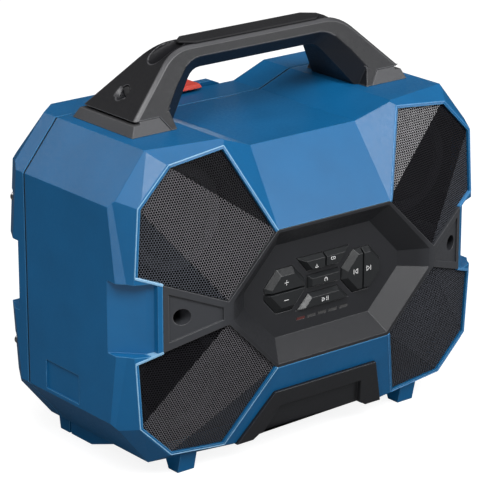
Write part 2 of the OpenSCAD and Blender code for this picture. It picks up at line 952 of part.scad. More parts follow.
// sloping front (way -1) and rear (way 1) of the handle, from the pads to the bar
function top_d(way) = top_half_d + way * bar_y;
function face_d(z, way) = top_d(way) + (bar_top - z) * (leg_half_d - top_d(way)) / (bar_top - cap_top);
handle_side = [[-face_d(body_half_h, -1), body_half_h], [face_d(body_half_h, 1), body_half_h],
    [top_d(1), bar_top], [-top_d(-1), bar_top]];
leg_x = 134;
seam_in = [101.5, 110];

// arc of radius r in the corner p between the ways to a and b
function rounded(a, p, b, r, n = 7) = let (u = (a - p) / norm(a - p), v = (b - p) / norm(b - p),
    h = acos(u * v) / 2, c = p + (u + v) / norm(u + v) * r / sin(h), s = p + u * r / tan(h) - c,
    e = p + v * r / tan(h) - c, a0 = atan2(s.y, s.x), w = (atan2(e.y, e.x) - a0 + 540) % 360 - 180)
    [for (i = [0:n]) c + r * [cos(a0 + w * i / n), sin(a0 + w * i / n)]];

// right half of the outline, without the hand hole
leg_out = concat([[0, body_half_h], [seam_in[0], body_half_h], [seam_in[1], cap_top], [leg_x, cap_top]],
    rounded([leg_x, cap_top], [bar_half_l, bar_top], [0, bar_top], bend_r), [[0, bar_top]]);
// edges of the hand hole: narrow in the middle of the depth, wide at the front and rear faces
hole_bend = [62.5, bar_low];
hole_foot = [93, body_half_h];
face_bend = [71, bar_top - bar_face];
face_foot = [115, body_half_h];
hole_edge = concat([hole_foot], rounded(hole_foot, hole_bend, [0, bar_low], 17, 4), [[0, bar_low]]);
face_edge = concat([face_foot], rounded(face_foot, face_bend, [0, face_bend.y], 25, 4), [[0, face_bend.y]]);
hole_back = 12.5;
function on_face(p, d, way) = [p.x, d - face_d(p.y, way), p.y];
function flare_planes(way) = [for (i = [0:len(hole_edge) - 2], sx = [-1, 1])
    [turn(on_face(hole_edge[i], hole_back, way), [sx, 1]),
        turn(on_face(hole_edge[i + 1], hole_back, way), [sx, 1]),
        turn(on_face((face_edge[i] + face_edge[i + 1]) / 2, 0, way), [sx, 1]), 0]];
toe = [[seam_in[0], body_half_h], [seam_in[1], cap_top], [100, cap_top + 4], [96, body_half_h]];
// screw in the outer face of each leg
leg_lean = (bar_half_l - leg_x) / (bar_top - cap_top);
screw_y = 1;
screw_z = cap_top + 13.5;
screw_x = leg_x + (screw_z - cap_top) * leg_lean;

// opening for the hand, flared towards the front and the rear
module hand_hole() {
    both_sides()
        prism(concat([[0, body_half_h - 1], [hole_foot.x, body_half_h - 1]], hole_edge), -leg_half_d - 20,
            leg_half_d + 20);
    for (way = [-1, 1])
        mirror([0, way > 0 ? 1 : 0, 0])
            carved([-face_foot.x - 20, -leg_half_d - 20, body_half_h - 1], [face_foot.x + 20, 0, bar_top - 2],
                flare_planes(way), 0, [0, -leg_half_d - 20, body_half_h]);
}

module handle_frame() {
    color([0.09, 0.09, 0.1])
        at_middle()
            difference() {
                union() {
                    difference() {
                        both_sides()
                            intersection() {
                                prism(leg_out, -leg_half_d - 10, leg_half_d + 10);
                                beam(handle_side, -1, leg_x + 10);
                            }
                        hand_hole();
                    }
                    // toes beside the caps
                    both_sides()
                        for (m = [0, 1])
                            mirror([0, m, 0])
                                intersection() {
                                    prism(toe, -leg_half_d - 10, hole_back - leg_half_d);
                                    beam(handle_side, 50, leg_x);
                                }
                }
                bolt_holes(bolt_r + slack, cap_top - 1, cap_top + bolt_in + 0.5);
                both_sides() {
                    bar(screw_y, screw_z, 5, screw_x - 8, screw_x + 12);
                    bar(screw_y, screw_z, screw_r + slack, screw_x - 22, screw_x);
                }
            }
}

module handle_grip() {
    l = bar_half_l - 13;
    w = top_half_d - 1.5;
    color([0.03, 0.03, 0.03])
        at_middle()
            translate([0, bar_y, bar_top])
                linear_extrude(grip_t)
                    polygon([[-l, -2], [10 - l, -w], [l - 10, -w], [l, -2], [l, 2], [l - 10, w],
                        [10 - l, w], [-l, 2]]);
}

// foot cap under each leg, with a shadow groove on its outer side
module handle_cap() {
    groove = 2.4;
    out = (cap_top - body_half_h) * 0.46;
    color([0.12, 0.12, 0.125])
        at_middle()
            difference() {
                intersection() {
                    prism([[seam_in[0] + slack, body_half_h], [leg_x + out, body_half_h],
                        [leg_x + 1, cap_top - groove], [leg_x - 5, cap_top - groove], [leg_x - 5, cap_top],
                        [seam_in[1] + slack, cap_top]],
                        -leg_half_d - 10, leg_half_d + 10);
                    beam(handle_side, 50, leg_x + 20);
                }
                bolt_holes(2.4, body_half_h - 1, cap_top + 1);
            }
}

module handle_cap_left() {
    mirror([1, 0, 0])
        handle_cap();
}

module handle_cap_right() {
    handle_cap();
}

// bolts from inside the case up into the legs
module handle_bolts() {
    color([0.6, 0.6, 0.62])
        at_middle()
            for (sx = [-1, 1], sy = [-1, 1])
                translate([sx * bolt_x, sy * bolt_y, body_half_h - wall - 3.55]) {
                    cylinder(r = 4.5, h = 3.5);
                    cylinder(r = bolt_r, h = wall + 3.55 + cap_h + bolt_in);
                }
}

module handle_screws() {
    color([0.6, 0.6, 0.62])
        at_middle()
            both_sides() {
                bar(screw_y, screw_z, 4, screw_x - 7.95, screw_x - 4.5);
                bar(screw_y, screw_z, screw_r, screw_x - 21.5, screw_x - 6);
            }
}

module panel_screws() {
    color([0.6, 0.6, 0.62])
        at_middle()
            both_sides()
                difference() {
                    union() {
                        rod(well_x, 0, 4.6, -baffle_y - 9.5, -baffle_y - 6.05);
                        rod(well_x, 0, screw_r, -baffle_y - 8, baffle_back + 8);
                    }
                    for (a = [0, 90])
                        translate([well_x, -baffle_y - 9.5, 0])
                            rotate([0, a, 0])
                                cube([5.6, 2.4, 1.2], center = true);
                }
}

module baffle_screws() {
    color([0.6, 0.6, 0.62])
        at_middle() {
            baffle_spots(3.4, -baffle_y - 2.6, -baffle_y - 0.05);
            baffle_spots(screw_r, -baffle_y - 1, baffle_back + 7);
        }
}

module case_screws() {
    color([0.6, 0.6, 0.62])
        at_middle() {
            posts(4, rear_y - 9.95, rear_y - 6.5);
            posts(screw_r, part_y - 20, rear_y - 8);
        }
}

bay_outline = [[-bay_half_w, bay_low], [bay_half_w, bay_low], [bay_half_w, bay_high],
    [-bay_half_w, bay_high]];
rail_x = [24, 30, 38];
rail_top = 30;
rail_d = 14;
post_l = 7;

// tub behind the rear opening, with the rails that take a battery pack
module battery_bay() {
    color([0.06, 0.06, 0.065])
        at_middle()
            difference() {
                union() {
                    prism(grown(bay_outline, 2), bay_y - 2, rear_y - wall - 0.05);
                    prism(grown(bay_outline, 9), rear_y - wall - 3, rear_y - wall - 0.05);
                    for (sx = [-1, 1], sz = [-1, 1])
                        rod(sx * 44, sz * 40, 3, bay_y - post_l, bay_y);
                }
                difference() {
                    prism(bay_outline, bay_y, rear_y);
                    both_sides() {
                        rail(rail_x[1], bay_y - 1);
                        rail(rail_x[0], bay_y + rail_d - 4);
                    }
                }
            }
}

module rail(x0, y0) {
    x1 = rail_x[2];
    prism([[x0, bay_low - 1], [x1, bay_low - 1], [x1, rail_top], [x0, rail_top]], y0, bay_y + rail_d);
}

// terminal block and its five blades
block = [40, 9, 20];
block_z = 38;
blade = [1.2, 5, 17];
blade_pitch = 7;
blade_y = 3;
module battery_contacts() {
    color([0.75, 0.6, 0.3])
        at_middle() {
            translate([-block.x / 2, bay_y + 0.05, block_z])
                cube(block);
            for (i = [-2:2])
                translate([i * blade_pitch - blade.x / 2, bay_y + blade_y, block_z + 1 - blade.z])
                    cube(blade);
        }
}

// amplifier board on the posts of the bay
main_half = [bay_half_w - 12, 55];
main_t = 1.6;
main_y = bay_y - post_l - main_t - 0.05;
// row of chips with heat sinks and row of round capacitors
chip = [16, 15.4, 22];
chip_pitch = 24;
chip_z = 20;
can_r = 6;
can_l = 18;
can_pitch = 20;
can_z = -25;

module main_board() {
    color([0.05, 0.25, 0.12])
        at_middle() {
            translate([-main_half.x, main_y, -main_half.y])
                cube([2 * main_half.x, main_t, 2 * main_half.y]);
            for (i = [-1.5:1.5])
                translate([i * chip_pitch - chip.x / 2, main_y + 0.05 - chip.y, chip_z])
                    cube(chip);
            for (i = [-2:2])
                rod(i * can_pitch, can_z, can_r, main_y + 0.65 - can_l, main_y + 0.65);
        }
}

door_y = rear_y + door_gap;
door_corner = 26;
cheek_l = 26;
door_outline = [[-door_half_w, door_low], [door_half_w, door_low], [door_half_w, door_high - door_corner],
    [door_half_w - door_corner, door_high], [door_corner - door_half_w, door_high],
    [-door_half_w, door_high - door_corner]];

// door with bevelled edges, hinge barrel below, lugs for the latch and cheeks beside it above
module battery_door() {
    n = len(door_outline);
    lug = [[door_y + 1, latch_z - 5], [latch_y, latch_z - 4], [latch_y, latch_z + 4],
        [door_y + 1, latch_z + 5]];
    cheek_x = [latch_half_w + clear, latch_half_w + cheek_l];
    cheek = [[cheek_x[0], door_high - 8], [cheek_x[1], door_high - 8], [cheek_x[1], valley_z],
        [cheek_x[1] - 8, valley_z + 3.4], [cheek_x[0], valley_z + 3.4]];
    color([0.02, 0.20, 0.40])
        at_middle()
            difference() {
                union() {
                    intersection() {
                        prism(door_outline, door_y, door_y + door_t);
                        intersection_for(j = [0:n - 1])
                            door_bevel(door_outline[j], door_outline[(j + 1) % n]);
                    }
                    bar(hinge_y, hinge_z, hinge_r, -41, 41);
                    beam([[door_y + 1, door_low + 1], [hinge_y - 4, hinge_z + 2], [hinge_y + 4, hinge_z + 2],
                        [door_y + door_t, door_low + 8]], -41, 41);
                    both_sides() {
                        prism(cheek, door_y + 0.5, door_y + door_t + 2);
                        beam(lug, latch_half_w + clear, latch_half_w + 6);
                        bar(latch_y, latch_z, 4, latch_half_w + clear, latch_half_w + 6);
                    }
                }
                bar(hinge_y, hinge_z, pin_r + clear, -60, 60);
                bar(latch_y, latch_z, 1.5 + slack, -latch_half_w - 5, latch_half_w + 5);
            }
}

module door_bevel(a, b) {
    n = side_n(a, b) * 5;
    half([a.x, door_y + 2, a.y], [b.x, door_y + 2, b.y], [a.x + n.x, door_y + door_t, a.y + n.y], 0,
        [0, door_y, 0]);
}

module door_seal() {
    color([0.03, 0.03, 0.03])
        at_middle()
            difference() {
                prism(grown(bay_outline, 7), rear_y + 0.15, door_y - 0.05);
                prism(grown(bay_outline, 3), rear_y - 1, door_y + 1);
            }
}

// red lever on the door, its head lies over the rear edge of the valley
module door_latch() {
    lever_y = latch_y - 3.6;
    head_z = valley_z + latch_lift;
    tip = [[lever_y, latch_z], [latch_y + 4, latch_z], [latch_y + latch_knob, head_z + 0.5],
        [latch_y + 2, head_z + latch_t], [rear_y - 6, head_z + latch_t],
        [rear_y - 9, head_z + 1], [rear_y - 9, head_z], [lever_y, head_z]];
    color([0.75, 0.09, 0.07])
        at_middle()
            difference() {
                union() {
                    beam(tip, -latch_half_w, latch_half_w);
                    bar(latch_y, latch_z, 3.6, -latch_half_w, latch_half_w);
                }
                bar(latch_y, latch_z, 1.5 + clear, -20, 20);
            }
}

module latch_pin() {
    color([0.6, 0.6, 0.62])
        at_middle()
            bar(latch_y, latch_z, 1.5, -latch_half_w - 4.5, latch_half_w + 4.5);
}

module hinge_pin() {
    color([0.6, 0.6, 0.62])
        at_middle()
            bar(hinge_y, hinge_z, pin_r, -53, 53);
}

front_shell();
rear_shell();
case_seal();
grille_upper_left();
grille_upper_right();
grille_lower_left();
grille_lower_right();
control_panel();
key_volume_up();
key_volume_down();
key_wireless();
key_link();
key_power();
key_play();
key_previous();
key_next();
charge_lights();
control_board();
front_bumper();
speaker_baffle();
driver_frame_upper_left();
driver_frame_upper_right();
driver_frame_lower_left();
driver_frame_lower_right();
driver_cone_upper_left();
driver_cone_upper_right();
driver_cone_lower_left();
driver_cone_lower_right();
driver_magnet_upper_left();
driver_magnet_upper_right();
driver_magnet_lower_left();
driver_magnet_lower_right();
handle_frame();
handle_grip();
handle_cap_left();
handle_cap_right();
handle_bolts();
handle_screws();
panel_screws();
baffle_screws();
case_screws();
battery_bay();
battery_contacts();
main_board();
battery_door();
door_seal();
door_latch();
latch_pin();
hinge_pin();
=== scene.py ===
import json
import math

import bpy
from mathutils import Matrix, Vector

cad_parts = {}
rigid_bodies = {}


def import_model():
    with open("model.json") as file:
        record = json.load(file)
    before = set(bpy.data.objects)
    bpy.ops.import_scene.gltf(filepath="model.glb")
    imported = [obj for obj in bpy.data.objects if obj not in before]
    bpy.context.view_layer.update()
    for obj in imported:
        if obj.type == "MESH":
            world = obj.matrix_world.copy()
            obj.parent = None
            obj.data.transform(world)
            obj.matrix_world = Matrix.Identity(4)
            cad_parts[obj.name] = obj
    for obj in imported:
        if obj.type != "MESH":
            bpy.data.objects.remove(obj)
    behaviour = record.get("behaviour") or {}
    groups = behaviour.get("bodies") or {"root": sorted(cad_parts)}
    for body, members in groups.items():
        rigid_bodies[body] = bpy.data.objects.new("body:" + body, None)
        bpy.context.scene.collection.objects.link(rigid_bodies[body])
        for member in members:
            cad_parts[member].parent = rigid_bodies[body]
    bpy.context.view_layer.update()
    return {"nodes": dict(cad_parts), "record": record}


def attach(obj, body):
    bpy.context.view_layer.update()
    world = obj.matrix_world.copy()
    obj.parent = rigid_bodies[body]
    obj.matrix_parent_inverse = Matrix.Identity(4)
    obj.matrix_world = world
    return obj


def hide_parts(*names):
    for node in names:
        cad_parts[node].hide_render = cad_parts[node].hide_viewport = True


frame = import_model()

NODES = frame["nodes"]
MM = 0.001
# middle of the front's planes, in millimetres above the floor's origin
MIDDLE = Vector((0, 7.2, 141))
FORWARD = Vector((0, -1, 0))
QUARTERS = {"upper_right": (1, 1), "upper_left": (-1, 1), "lower_right": (1, -1), "lower_left": (-1, -1)}

for name in ("Cube", "Light", "Camera"):
    if name in bpy.data.objects:
        bpy.data.objects.remove(bpy.data.objects[name])


# Materials: every surface has its own grain, sheen and slight change of colour

GRAIN_DEPTH = 0.00012
PIPE_GRAIN_DEPTH = 0.0001
CLOUD_SCALE = 26.0
SHEEN_SCALE = 420.0
SHEEN_CHANGE = 0.05
NOISE_LOW = 0.3
NOISE_HIGH = 0.7
# how much of the near surroundings is open, which sets the painted edge highlight: on a flat face, and on
# a sharp edge
OPEN_FLAT = 0.92
OPEN_EDGE = 0.55


def shader_of(mat):
    return mat.node_tree.nodes["Principled BSDF"]


def new_material(name, rgb, rough):
    mat = bpy.data.materials.new(name)
    mat.use_nodes = True
    shader = shader_of(mat)
    shader.inputs["Base Color"].default_value = (*rgb, 1)
    shader.inputs["Roughness"].default_value = rough
    return mat, shader


def add_node(mat, kind, **sockets):
    item = mat.node_tree.nodes.new(kind)
    for key, value in sockets.items():
        item.inputs[key.replace("_", " ")].default_value = value
    return item


def link(mat, start, end):
    mat.node_tree.links.new(start, end)


def place_of(mat):
    return add_node(mat, "ShaderNodeTexCoord").outputs["Object"]


def along(mat, axis):
    item = add_node(mat, "ShaderNodeSeparateXYZ")
    link(mat, place_of(mat), item.inputs["Vector"])
    return item.outputs[axis]


def worked_out(mat, operation, value, other=None):
    item = add_node(mat, "ShaderNodeMath")
    item.operation = operation
    link(mat, value, item.inputs[0])
    if other is not None:
        item.inputs[1].default_value = other
    return item.outputs["Value"]


def noise(mat, scale, detail=3.0, rough=0.55):
    item = add_node(mat, "ShaderNodeTexNoise", Scale=scale, Detail=detail, Roughness=rough)
    link(mat, place_of(mat), item.inputs["Vector"])
    return item.outputs["Fac"]


def mapped(mat, value, start, end, low=0.0, high=1.0):
    item = add_node(mat, "ShaderNodeMapRange", From_Min=start, From_Max=end, To_Min=low, To_Max=high)
    link(mat, value, item.inputs["Value"])
    return item.outputs["Result"]


def spread(mat, value, low, high):
    return mapped(mat, value, NOISE_LOW, NOISE_HIGH, low, high)


def colours(sockets):
    return [socket for socket in sockets if socket.type == "RGBA"]


def two_tone(mat, value, dark, light):
    item = mat.node_tree.nodes.new("ShaderNodeMix")
    item.data_type = "RGBA"
    for socket, tone in zip(colours(item.inputs), (dark, light)):
        socket.default_value = (*tone, 1)
    link(mat, value, item.inputs["Factor"])
    return colours(item.outputs)[0]


def grain(mat, shader, scale, strength, depth, edge=0.0):
    bump = add_node(mat, "ShaderNodeBump", Strength=strength, Distance=depth)
    link(mat, noise(mat, scale, 2.0), bump.inputs["Height"])
    if edge > 0:
        soft = add_node(mat, "ShaderNodeBevel", Radius=edge * MM)
        soft.samples = 6
        link(mat, soft.outputs["Normal"], bump.inputs["Normal"])
    link(mat, bump.outputs["Normal"], shader.inputs["Normal"])


def plastic(name, rgb, rough, scale=1600.0, strength=0.25, change=0.07, edge=0.0, shine=0.5):
    mat, shader = new_material(name, rgb, rough)
    shader.inputs["Specular IOR Level"].default_value = shine
    dark = [v * (1 - change) for v in rgb]
    light = [v * (1 + change) for v in rgb]
    clouds = spread(mat, noise(mat, CLOUD_SCALE), 0.0, 1.0)
    link(mat, two_tone(mat, clouds, dark, light), shader.inputs["Base Color"])
    sheen = spread(mat, noise(mat, SHEEN_SCALE), rough - SHEEN_CHANGE, rough + SHEEN_CHANGE)
    link(mat, sheen, shader.inputs["Roughness"])
    grain(mat, shader, scale, strength, GRAIN_DEPTH, edge)
    return mat


# Painted highlight: the colour turns lighter along convex edges
def paint_edge_highlight(mat, light, reach):
    shader = shader_of(mat)
    near = add_node(mat, "ShaderNodeAmbientOcclusion", Distance=reach * MM)
    near.inside = True
    near.only_local = True
    near.samples = 8
    plain = shader.inputs["Base Color"].links[0].from_socket
    tone = two_tone(mat, mapped(mat, near.outputs["AO"], OPEN_FLAT, OPEN_EDGE), light, light)
    link(mat, plain, colours(tone.node.inputs)[0])
    link(mat, tone, shader.inputs["Base Color"])


def metal(name, rgb, rough, scale=900.0, strength=0.15):
    mat = plastic(name, rgb, rough, scale, strength, 0.1)
    shader_of(mat).inputs["Metallic"].default_value = 1.0
    return mat


PANEL_TONE = (0.0135, 0.0142, 0.0168)
ARM_PAINTED_LIGHT_TONE = (0.034, 0.036, 0.041)
BRASS_TONE = (0.62, 0.45, 0.18)
BLOCK_TONE = (0.015, 0.015, 0.016)
BAR_TONE = (0.05, 0.05, 0.05)
FIRST_BAR_TONE = (0.075, 0.019, 0.018)
# distances from the object's middle at which the panel's colour turns to the painted light of its arms
PANEL_END = 0.092
ARM_START = 0.112
FIRST_BAR_END = -0.0165
BLADES_TOP = 0.1789

shell_blue = plastic("shell_blue", (0.002, 0.096, 0.245), 0.4, edge=0.9, shine=0.46)
panel_black = plastic("panel_black", PANEL_TONE, 0.4, edge=0.7)
key_black = plastic("key_black", (0.012, 0.0132, 0.0145), 0.38, shine=0.5)
handle_grey = plastic("handle_grey", (0.0085, 0.009, 0.011), 0.46, 1300.0, 0.3, shine=0.32)
# handle: darker and lighter copies of its plastic, as painted shade and painted highlight
handle_painted_shade = plastic("handle_painted_shade", (0.006, 0.006, 0.0075), 0.5, 1300.0, 0.3, shine=0.22)
handle_painted_highlight = plastic("handle_painted_highlight", (0.05, 0.05, 0.054), 0.4, 1300.0, 0.3)
cap_grey = plastic("cap_grey", (0.06, 0.06, 0.063), 0.52, 1300.0, 0.35, shine=0.35)
rubber_black = plastic("rubber_black", (0.013, 0.013, 0.0145), 0.62, 1100.0, 0.4, 0.1, shine=0.28)
# grille: lighter and darker copies of one metal, as painted light and shade on the folds and painted
# shade in the holes
grille_painted_highlight = plastic("grille_painted_highlight", (0.238, 0.235, 0.245), 0.42, 2400.0, 0.2)
grille_painted_light = plastic("grille_painted_light", (0.133, 0.13, 0.14), 0.42, 2400.0, 0.2, shine=0.35)
grille_middle = plastic("grille_middle", (0.076, 0.082, 0.098), 0.42, 2400.0, 0.2, shine=0.35)
grille_painted_shade = plastic("grille_painted_shade", (0.013, 0.0128, 0.0155), 0.5, 2400.0, 0.2, shine=0.12)
latch_red = plastic("latch_red", (0.62, 0.055, 0.035), 0.4)
inner_black = plastic("inner_black", (0.012, 0.012, 0.013), 0.6)
# cone and baffle: black plastic made darker still, as painted shade behind the grilles
cone_black = plastic("cone_black", (0.004, 0.004, 0.0045), 0.7, shine=0.12)
baffle_black_painted_shade = plastic("baffle_black_painted_shade", (0.003, 0.003, 0.0034), 0.8, shine=0.08)
board_green = plastic("board_green", (0.02, 0.12, 0.05), 0.4)
driver_steel = plastic("driver_steel", (0.02, 0.021, 0.025), 0.45, shine=0.3)
steel = metal("steel", (0.42, 0.42, 0.43), 0.32)
contact_brass = metal("contact_brass", BRASS_TONE, 0.3)
sign_white = plastic("sign_white", (0.62, 0.62, 0.62), 0.5, 1600.0, 0.1, 0.04)
lip_painted_highlight = plastic("lip_painted_highlight", (0.05, 0.2, 0.42), 0.25)
lip_left_painted_highlight = plastic("lip_left_painted_highlight", (0.2, 0.38, 0.56), 0.25)

# panel: its arms are painted lighter than its middle, as painted light
outward = worked_out(panel_black, "ABSOLUTE", along(panel_black, "X"))
arm_painted_light = mapped(panel_black, outward, PANEL_END, ARM_START)
tones = two_tone(panel_black, arm_painted_light, PANEL_TONE, ARM_PAINTED_LIGHT_TONE)
link(panel_black, tones, shader_of(panel_black).inputs["Base Color"])

# painted highlight along the moulded edges
paint_edge_highlight(shell_blue, (0.05, 0.2, 0.39), 0.7)
paint_edge_highlight(handle_grey, (0.16, 0.16, 0.165), 1.1)
paint_edge_highlight(cap_grey, (0.14, 0.14, 0.145), 0.9)
paint_edge_highlight(panel_black, (0.08, 0.08, 0.085), 0.5)

# charge lights: the first bar is red
light_pipe, shader = new_material("light_pipe", (0.2, 0.2, 0.2), 0.3)
first_bar = worked_out(light_pipe, "LESS_THAN", along(light_pipe, "X"), FIRST_BAR_END)
tones = two_tone(light_pipe, first_bar, BAR_TONE, FIRST_BAR_TONE)
link(light_pipe, tones, shader.inputs["Base Color"])
grain(light_pipe, shader, 1500.0, 0.1, PIPE_GRAIN_DEPTH)

# terminal block: black plastic above, brass blades below
shader = shader_of(contact_brass)
blades = worked_out(contact_brass, "LESS_THAN", along(contact_brass, "Z"), BLADES_TOP)
tones = two_tone(contact_brass, blades, BLOCK_TONE, BRASS_TONE)
link(contact_brass, tones, shader.inputs["Base Color"])
link(contact_brass, blades, shader.inputs["Metallic"])

MATERIALS = {"shell_blue": shell_blue, "panel_black": panel_black, "key_black": key_black,
    "handle_grey": handle_grey, "cap_grey": cap_grey, "rubber_black": rubber_black,
    "grille_metal": grille_middle, "latch_red": latch_red, "steel": steel, "driver_steel": driver_steel,
    "cone_black": cone_black, "inner_black": inner_black, "board_green": board_green,
    "contact_brass": contact_brass, "light_pipe": light_pipe}

slots = {item["node"]: item["material_slot"] for item in frame["record"]["subparts"]}
for name, obj in NODES.items():
    obj.data.materials.clear()
    obj.data.materials.append(MATERIALS[slots[name]])
# the baffle takes its own near-black colour, painted shade behind the grilles
NODES["speaker_baffle"].data.materials[0] = baffle_black_painted_shade


# Small steps that the pieces below share

def start_edit():
    bpy.ops.object.mode_set(mode="EDIT")
    bpy.ops.mesh.select_all(action="SELECT")


def stop_edit():
    bpy.ops.object.mode_set(mode="OBJECT")


def pick(obj):
    bpy.ops.object.select_all(action="DESELECT")
    obj.select_set(True)
    bpy.context.view_layer.objects.active = obj


def settle():
    bpy.ops.object.transform_apply(location=True, rotation=True, scale=True)


def add_cube():
    bpy.ops.object.select_all(action="DESELECT")
    bpy.ops.mesh.primitive_cube_add(size=1)
    return bpy.context.object


def joined(pieces, name):
    bpy.ops.object.select_all(action="DESELECT")
    for obj in pieces:
        obj.select_set(True)
    bpy.context.view_layer.objects.active = pieces[0]
    if len(pieces) > 1:
        bpy.ops.object.join()
    obj = bpy.context.view_layer.objects.active
    obj.name = name
    return obj


def face_outward():
    start_edit()
    bpy.ops.mesh.normals_make_consistent(inside=False)
    stop_edit()


def at(x, y, z):
    return (Vector((x, y, z)) + MIDDLE) * MM


# Pieces with moulded edges: a merged copy of the solid with its corners rounded

ROUNDED = {"handle_frame": 0.7, "handle_grip": 0.8, "handle_cap_left": 0.7, "handle_cap_right": 0.7,
    "door_latch": 0.6, "front_bumper": 0.7, "key_volume_up": 0.3, "key_volume_down": 0.3,
    "key_wireless": 0.3, "key_link": 0.3, "key_power": 0.3, "key_play": 0.3, "key_previous": 0.3,
    "key_next": 0.3}
BODY_OF = {node: body for body, nodes in frame["record"]["behaviour"]["bodies"].items() for node in nodes}
CORNER_MERGE = 0.00002
FLAT_ANGLE = math.radians(0.5)
SMOOTH_ANGLE = math.radians(25)
ROUND_ANGLE = math.radians(20)
# handle: material slots (plain, painted shade, painted highlight), then heights above the floor where the
# outer faces start
GREY, SHADE_SLOT, EDGE = range(3)
LEG_LOW = 0.2815
BAR_LOW = 0.304
# line along the outside of the legs, from the foot up to the top of the bar
PROFILE_TOP = 0.3195
PROFILE_FOOT_X = 0.131
PROFILE_FOOT_Z = 0.278
PROFILE_LEAN = 1.087
FLANK_TURN = 0.8
CHAMFER_TURN = 0.35
LONG_CUT = 2.0
# hollow at each bend of the handle: half sizes, place and lean of the ellipsoid that cuts it
HOLLOW_SIZE = (22, 8.5, 4.5)
HOLLOW_PLACE = (82.6, 2.2, 320.4)
HOLLOW_LEAN = math.radians(21)


def on_outside(face):
    outward = face.normal.x * face.center.x > 0.001 and face.center.z > LEG_LOW
    return face.normal.z > 0.2 and (outward or face.center.z > BAR_LOW)


def on_profile(point):
    line = PROFILE_FOOT_X - PROFILE_LEAN * (point.z - PROFILE_FOOT_Z)
    return point.z > PROFILE_TOP or abs(point.x) > line


def cut_long_edges(obj):
    outside = set()
    flanks = set()
    for face in obj.data.polygons:
        if face.material_index != GREY:
            continue
        if abs(face.normal.y) > FLANK_TURN:
            flanks.update(face.edge_keys)
        elif on_outside(face):
            outside.update(face.edge_keys)
    start_edit()
    bpy.ops.mesh.select_mode(type="EDGE")
    bpy.ops.mesh.select_all(action="DESELECT")
    stop_edit()
    for edge in obj.data.edges:
        ends = [obj.data.vertices[i].co for i in edge.vertices]
        edge.select = edge.key in outside and edge.key in flanks and all(on_profile(end) for end in ends)
    bpy.ops.object.mode_set(mode="EDIT")
    bpy.ops.mesh.bevel(offset=LONG_CUT * MM, segments=1, affect="EDGES")
    bpy.ops.mesh.select_mode(type="VERT")
    stop_edit()


def sink_hollow(obj, side):
    bpy.ops.object.select_all(action="DESELECT")
    bpy.ops.mesh.primitive_uv_sphere_add(segments=48, ring_count=24, radius=1)
    cutter = bpy.context.object
    x, y, z = HOLLOW_PLACE
    cutter.scale = [half * MM for half in HOLLOW_SIZE]
    cutter.rotation_euler = (0, side * HOLLOW_LEAN, 0)
    cutter.location = (side * x * MM, y * MM, z * MM)
    settle()
    bpy.ops.object.shade_smooth()
    cutter.data.materials.append(handle_grey)
    cutter.data.materials.append(handle_painted_shade)
    # the hollow takes the handle's painted shade
    for face in cutter.data.polygons:
        face.material_index = SHADE_SLOT
    pick(obj)
    hollow = obj.modifiers.new("hollow", "BOOLEAN")
    hollow.operation = "DIFFERENCE"
    hollow.object = cutter
    bpy.ops.object.modifier_apply(modifier="hollow")
    pick(cutter)
    bpy.ops.object.delete()
    pick(obj)


# painted shade on the outer faces, painted highlight on the chamfers, plain plastic on inward rounded
# edges
def paint_handle_shade_and_highlight(obj):
    for face in obj.data.polygons:
        inward = face.normal.x * face.center.x < 0 and face.center.z < BAR_LOW
        if face.material_index == EDGE and inward:
            face.material_index = GREY
        turned_side = abs(face.normal.y)
        if face.material_index == GREY and turned_side < FLANK_TURN and on_outside(face):
            face.material_index = SHADE_SLOT if turned_side < CHAMFER_TURN else EDGE


def moulded(node, width):
    pick(NODES[node])
    bpy.ops.object.duplicate()
    obj = bpy.context.object
    obj.name = node + "_moulded"
    bpy.ops.object.parent_clear(type="CLEAR_KEEP_TRANSFORM")
    start_edit()
    bpy.ops.mesh.customdata_custom_splitnormals_clear()
    bpy.ops.mesh.remove_doubles(threshold=CORNER_MERGE)
    bpy.ops.mesh.dissolve_limited(angle_limit=FLAT_ANGLE)
    stop_edit()
    bpy.ops.object.shade_smooth_by_angle(angle=SMOOTH_ANGLE)
    if node == "handle_frame":
        obj.data.materials.append(handle_painted_shade)
        obj.data.materials.append(handle_painted_highlight)
        sink_hollow(obj, -1)
        sink_hollow(obj, 1)
        cut_long_edges(obj)
    soft = obj.modifiers.new("round", "BEVEL")
    soft.width = width * MM
    soft.segments = 3
    soft.limit_method = "ANGLE"
    soft.angle_limit = ROUND_ANGLE
    soft.use_clamp_overlap = False
    soft.harden_normals = True
    if node == "handle_frame":
        # the rounded edges take the handle's painted highlight
        soft.material = EDGE
    bpy.ops.object.modifier_apply(modifier="round")
    if node == "handle_frame":
        paint_handle_shade_and_highlight(obj)
    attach(obj, BODY_OF[node])
    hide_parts(node)


for node, width in ROUNDED.items():
    moulded(node, width)


# Perforated grilles: one staggered cell, repeated over each fold and cut along the folds

# corners of the upper right grille: A and T beside the panel, B to E round the rim
A = at(57, -112, 56)
T = at(104.5, -112, 9)
B = at(87, -83, 122)
C = at(139, -83, 116.5)
D = at(168, -83, 88)
E = at(171.5, -83, 34.5)
INSIDE = at(0, 0, 0)
PITCH = 2.1 * MM
HOLE = 1.84 * MM
SHEET = 0.8 * MM
BEHIND = 3.1 * MM
HOLE_SIDES = 12
CELL_MERGE = 0.00001
CUT_MERGE = 0.000001
# how far the sheet runs on under the rim and under the panel
RIM_TUCK = 1
PANEL_TUCK = 0.3


def facing(p, q, r):
    way = (q - p).cross(r - p).normalized()
    if way.dot(INSIDE - p) > 0:
        way = -way
    return p - way * BEHIND, way


FOLDS = [facing(C, D, (A + T) / 2), facing(A, B, C), facing(T, D, E)]
SLOPE = facing(A, Vector((-A.x, A.y, A.z)), B)
ARM = facing(T, Vector((T.x, T.y, 2 * INSIDE.z - T.z)), E)


